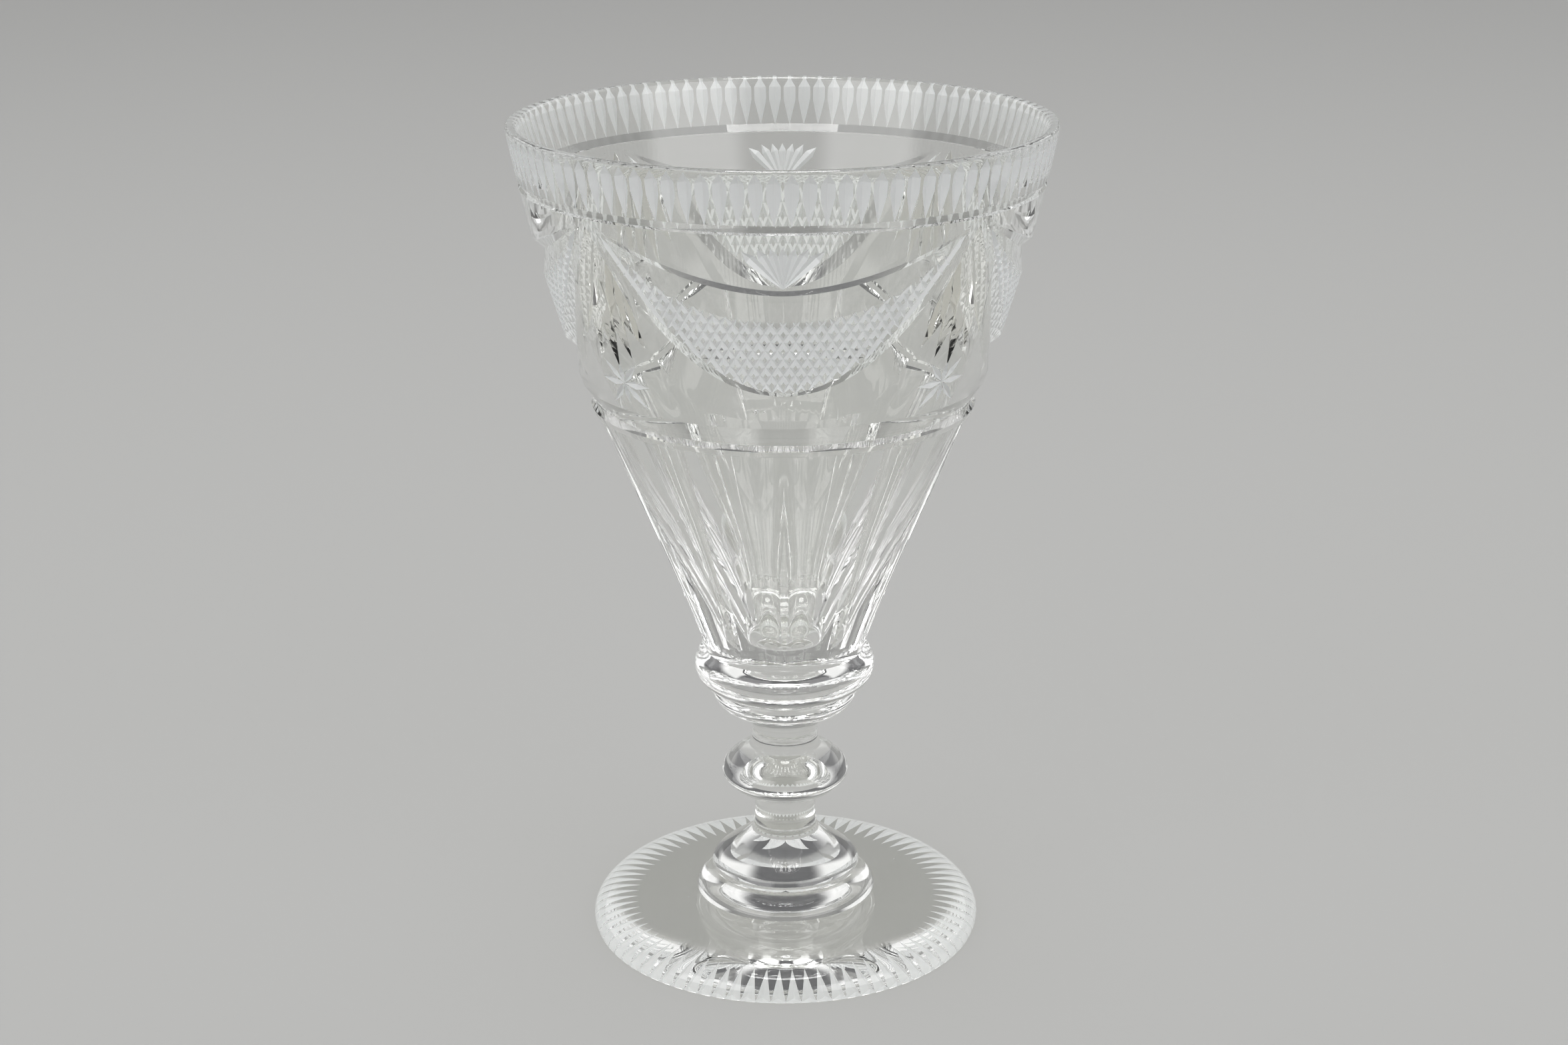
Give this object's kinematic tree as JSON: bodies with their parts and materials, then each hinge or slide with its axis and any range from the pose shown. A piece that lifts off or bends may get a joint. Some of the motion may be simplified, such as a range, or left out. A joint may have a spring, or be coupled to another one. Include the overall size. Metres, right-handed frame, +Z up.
{
  "type": "wine goblet",
  "caption": "Antique cut-glass wine goblet: conical bowl with fluted rim, hatched swags, tassels and stars over broad basal flutes, on a knopped stem and round foot.",
  "frame": {"origin": "centre of the foot's underside, on the table", "axes": "+Z up along the goblet's axis; -Y towards the middle of one swag, the side seen in the picture; X sideways"},
  "size_m": [0.132, 0.132, 0.21],
  "materials": {
    "lead_glass": "polished, wheel cut"
  },
  "bodies": {
    "root": {"bowl": "lead_glass", "upper_collar": "lead_glass", "lower_collar": "lead_glass", "upper_stem": "lead_glass", "central_knop": "lead_glass", "lower_stem": "lead_glass", "base_knop": "lead_glass", "foot_ring": "lead_glass", "foot": "lead_glass"}
  },
  "joints": []
}
